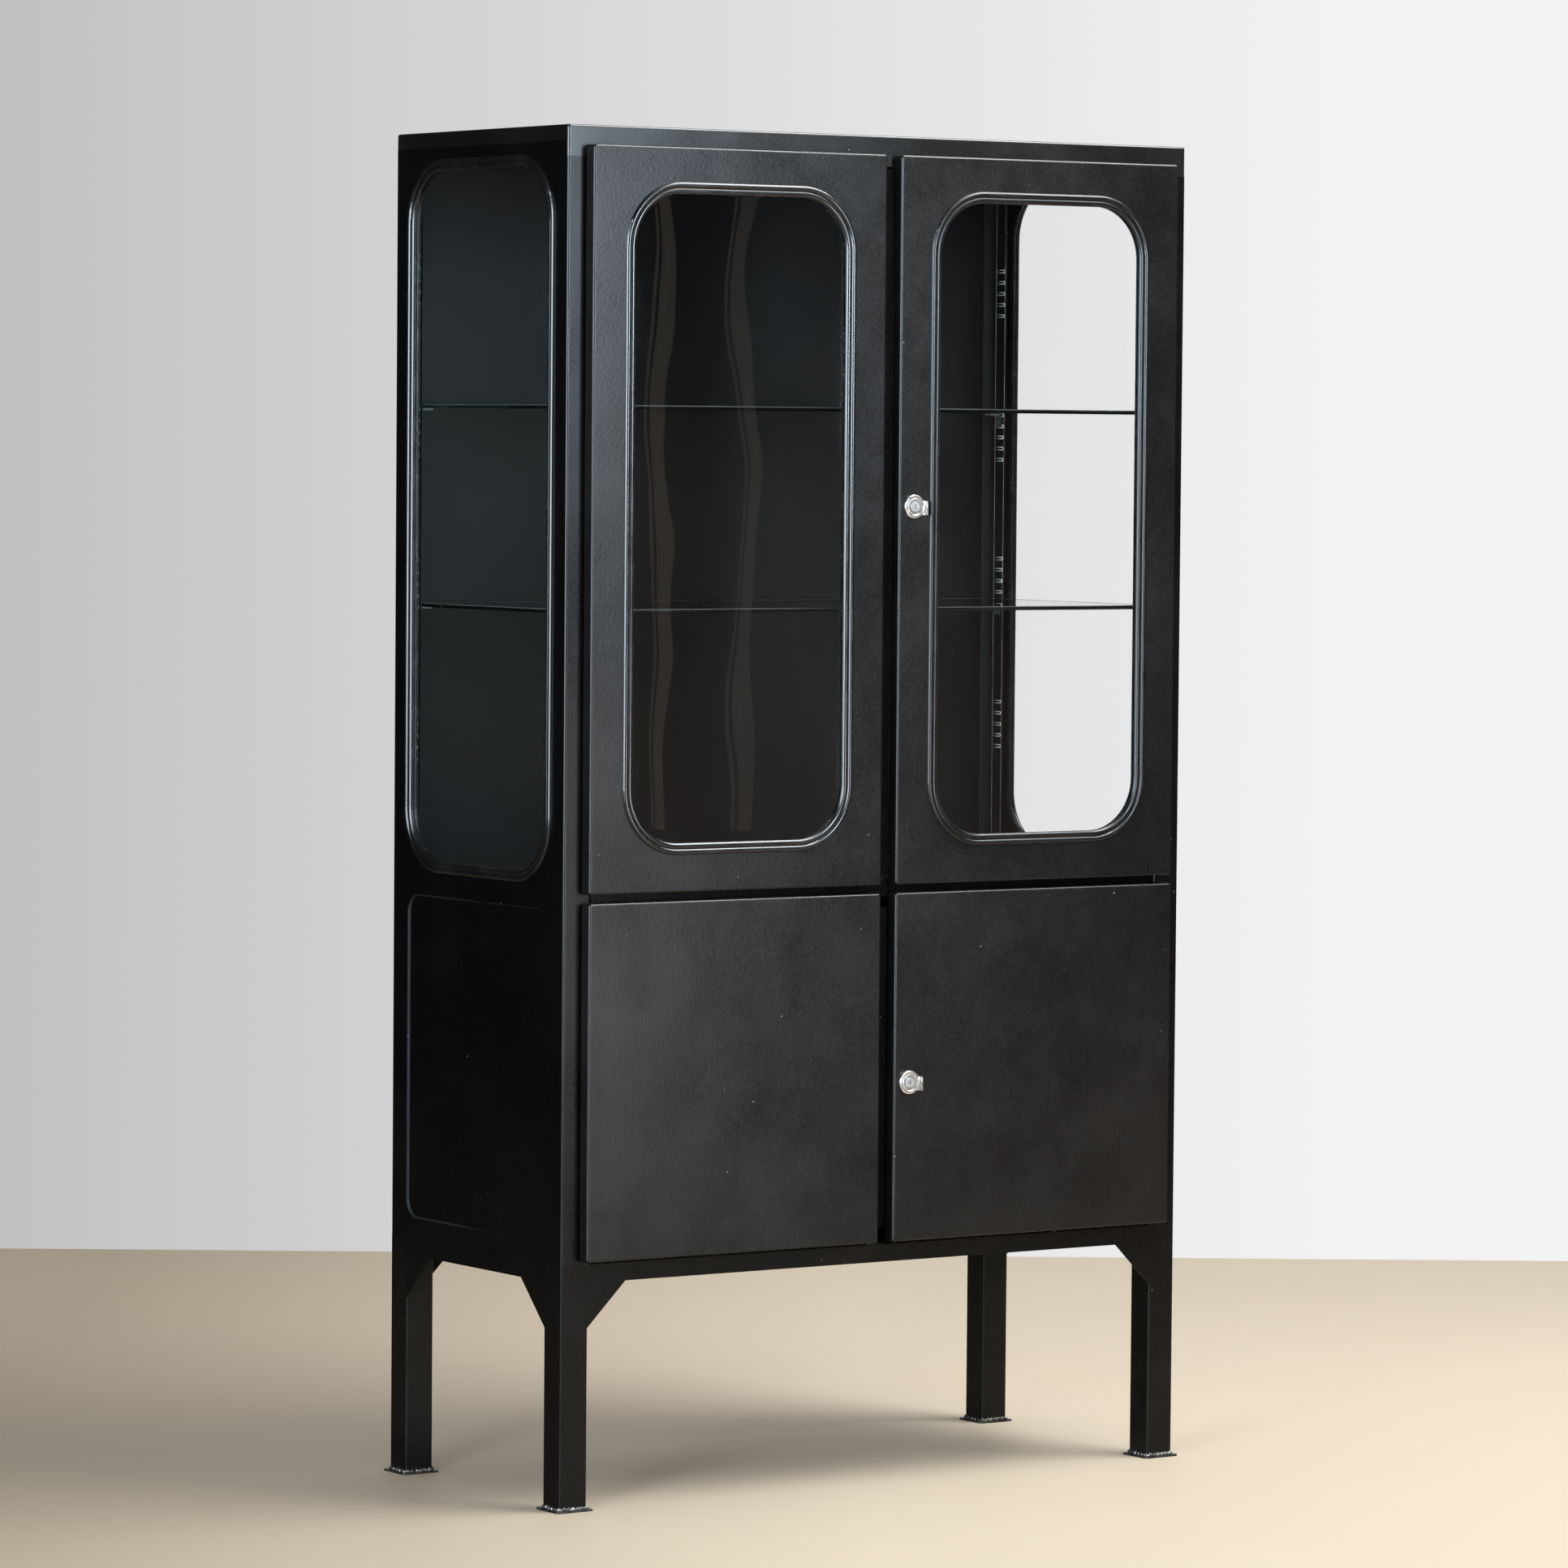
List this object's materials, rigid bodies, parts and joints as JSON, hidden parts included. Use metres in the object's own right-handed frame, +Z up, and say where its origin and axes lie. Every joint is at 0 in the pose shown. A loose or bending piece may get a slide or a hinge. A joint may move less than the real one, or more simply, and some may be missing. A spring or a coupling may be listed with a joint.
{
  "type": "medical cabinet",
  "caption": "Tall steel medical cabinet on square legs, glazed hinged doors and side windows above, solid hinged doors below, glass shelves, cam locks and slide bolts.",
  "frame": {"origin": "on the floor, under the middle of the whole outline, finger pulls and foot plates included", "axes": "+Z up, +X to the right along the front, the doors face -Y"},
  "size_m": [0.963, 0.4486, 1.72],
  "materials": {
    "black_paint": "satin",
    "rubber": "glossy",
    "window_glass": "polished",
    "shelf_glass": "polished",
    "chrome": "polished",
    "plated_steel": "satin",
    "foot_steel": "worn"
  },
  "bodies": {
    "carcass": {"top_panel": "black_paint", "upper_floor": "black_paint", "lower_floor": "black_paint", "back_panel": "black_paint", "side_panel_left": "black_paint", "side_panel_right": "black_paint", "side_gasket_left": "rubber", "side_gasket_right": "rubber", "side_glass_left": "window_glass", "side_glass_right": "window_glass", "leg_front_left": "black_paint", "leg_front_right": "black_paint", "leg_rear_left": "black_paint", "leg_rear_right": "black_paint", "foot_plates": "foot_steel", "shelf_upright_front_left": "black_paint", "shelf_upright_front_right": "black_paint", "shelf_upright_rear_left": "black_paint", "shelf_upright_rear_right": "black_paint", "upper_glass_shelf": "shelf_glass", "upper_glass_shelf_clips": "plated_steel", "lower_glass_shelf": "shelf_glass", "lower_glass_shelf_clips": "plated_steel", "steel_shelf": "black_paint", "steel_shelf_clips": "plated_steel", "steel_shelf_uprights": "black_paint", "hinge_arms": "plated_steel", "hinge_pins": "plated_steel"},
    "upper_left_leaf": {"upper_left_door": "black_paint", "upper_left_gasket": "rubber", "upper_left_glass": "window_glass", "upper_cover_strip": "black_paint", "upper_bolt_guides": "plated_steel"},
    "upper_right_leaf": {"upper_right_door": "black_paint", "upper_right_gasket": "rubber", "upper_right_glass": "window_glass", "upper_finger_pull": "chrome", "upper_lock_bezel": "chrome", "upper_lock_body": "chrome", "upper_lock_nut": "plated_steel"},
    "upper_lock": {"upper_lock_plug": "chrome", "upper_lock_cam": "plated_steel", "upper_cam_screw": "plated_steel"},
    "upper_top_bolt_bar": {"upper_top_bolt": "plated_steel"},
    "upper_bottom_bolt_bar": {"upper_bottom_bolt": "plated_steel"},
    "lower_left_leaf": {"lower_left_door": "black_paint", "lower_cover_strip": "black_paint", "lower_bolt_guides": "plated_steel"},
    "lower_right_leaf": {"lower_right_door": "black_paint", "lower_finger_pull": "chrome", "lower_lock_bezel": "chrome", "lower_lock_body": "chrome", "lower_lock_nut": "plated_steel"},
    "lower_lock": {"lower_lock_plug": "chrome", "lower_lock_cam": "plated_steel", "lower_cam_screw": "plated_steel"},
    "lower_top_bolt_bar": {"lower_top_bolt": "plated_steel"},
    "lower_bottom_bolt_bar": {"lower_bottom_bolt": "plated_steel"}
  },
  "joints": [
    {"name": "upper_left_hinge", "type": "hinge", "parent": "carcass", "child": "upper_left_leaf", "pos_m": [-0.443, -0.20825, 1.23225], "axis": [0, 0, -1], "range_deg": [0, 110]},
    {"name": "upper_right_hinge", "type": "hinge", "parent": "carcass", "child": "upper_right_leaf", "pos_m": [0.443, -0.20825, 1.23225], "axis": [0, 0, 1], "range_deg": [0, 110]},
    {"name": "upper_lock_turn", "type": "hinge", "parent": "upper_right_leaf", "child": "upper_lock", "pos_m": [0.0325, -0.19675, 1.2505], "axis": [0, 1, 0], "range_deg": [0, 90]},
    {"name": "upper_top_bolt_slide", "type": "slide", "parent": "upper_left_leaf", "child": "upper_top_bolt_bar", "axis": [0, 0, 1], "range_m": [0, 0.014]},
    {"name": "upper_bottom_bolt_slide", "type": "slide", "parent": "upper_left_leaf", "child": "upper_bottom_bolt_bar", "axis": [0, 0, -1], "range_m": [0, 0.014]},
    {"name": "lower_left_hinge", "type": "hinge", "parent": "carcass", "child": "lower_left_leaf", "pos_m": [-0.443, -0.20825, 0.53525], "axis": [0, 0, -1], "range_deg": [0, 110]},
    {"name": "lower_right_hinge", "type": "hinge", "parent": "carcass", "child": "lower_right_leaf", "pos_m": [0.443, -0.20825, 0.53525], "axis": [0, 0, 1], "range_deg": [0, 110]},
    {"name": "lower_lock_turn", "type": "hinge", "parent": "lower_right_leaf", "child": "lower_lock", "pos_m": [0.0325, -0.19675, 0.516], "axis": [0, 1, 0], "range_deg": [0, 90]},
    {"name": "lower_top_bolt_slide", "type": "slide", "parent": "lower_left_leaf", "child": "lower_top_bolt_bar", "axis": [0, 0, 1], "range_m": [0, 0.014]},
    {"name": "lower_bottom_bolt_slide", "type": "slide", "parent": "lower_left_leaf", "child": "lower_bottom_bolt_bar", "axis": [0, 0, -1], "range_m": [0, 0.014]}
  ]
}
